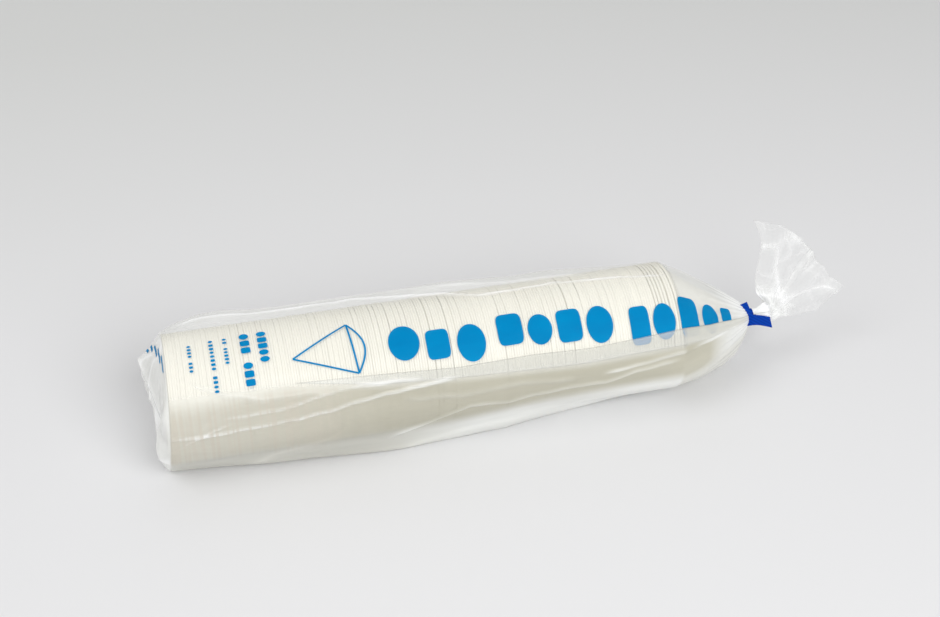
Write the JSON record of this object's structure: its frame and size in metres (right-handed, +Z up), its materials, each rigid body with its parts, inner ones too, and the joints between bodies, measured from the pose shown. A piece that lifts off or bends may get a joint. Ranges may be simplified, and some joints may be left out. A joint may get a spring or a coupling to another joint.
{
  "type": "bagged stack of cone paper cups",
  "caption": "Nested rolled-rim cone paper cups in a clear plastic sleeve with plain blue print, tied at the neck with a blue ribbon tie.",
  "frame": {"origin": "on the floor under the middle of the run of cup rims", "axes": "+X along the stack from the open mouths to the tied neck, +Y away from the front, +Z up"},
  "size_m": [0.4835, 0.087, 0.0944],
  "materials": {
    "paper": "matte white paper with a light wax",
    "film": "clear glossy polythene film",
    "tie_plastic": "dark blue plastic ribbon"
  },
  "bodies": {
    "root": {"end_cup": "paper", "cup_stack": "paper", "bag": "film", "tie": "tie_plastic"}
  },
  "joints": []
}
